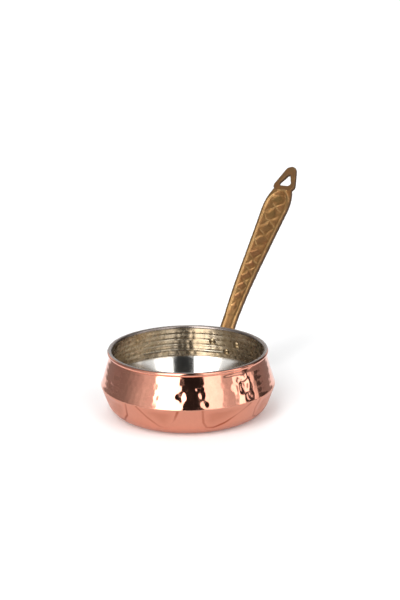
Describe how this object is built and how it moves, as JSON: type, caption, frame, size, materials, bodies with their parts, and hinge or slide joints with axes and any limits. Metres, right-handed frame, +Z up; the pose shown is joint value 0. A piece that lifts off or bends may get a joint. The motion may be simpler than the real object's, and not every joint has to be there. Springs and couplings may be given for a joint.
{
  "type": "long-handled copper pan",
  "caption": "Shallow hammered copper pan with a tin lining, a rolled rim and a long tapered brass handle with a hanging loop, held by rivets.",
  "frame": {"origin": "centre of the pan's flat underside, on the pan's axis", "axes": "+Z up along the pan's axis, +X from the pan's axis towards the handle's tip, +Y to the left of the handle seen from its tip side"},
  "size_m": [0.2901, 0.1522, 0.18],
  "materials": {
    "copper": "hammered and polished copper",
    "tin": "wiped tin, slightly dulled",
    "aged_brass": "cast brass with a brown patina",
    "rivet_copper": "copper rivet with tinned heads"
  },
  "bodies": {
    "root": {"pan_body": "copper", "tin_lining": "tin", "handle": "aged_brass", "rivet_upper_left": "rivet_copper", "rivet_upper_right": "rivet_copper", "rivet_lower": "rivet_copper"}
  },
  "joints": []
}
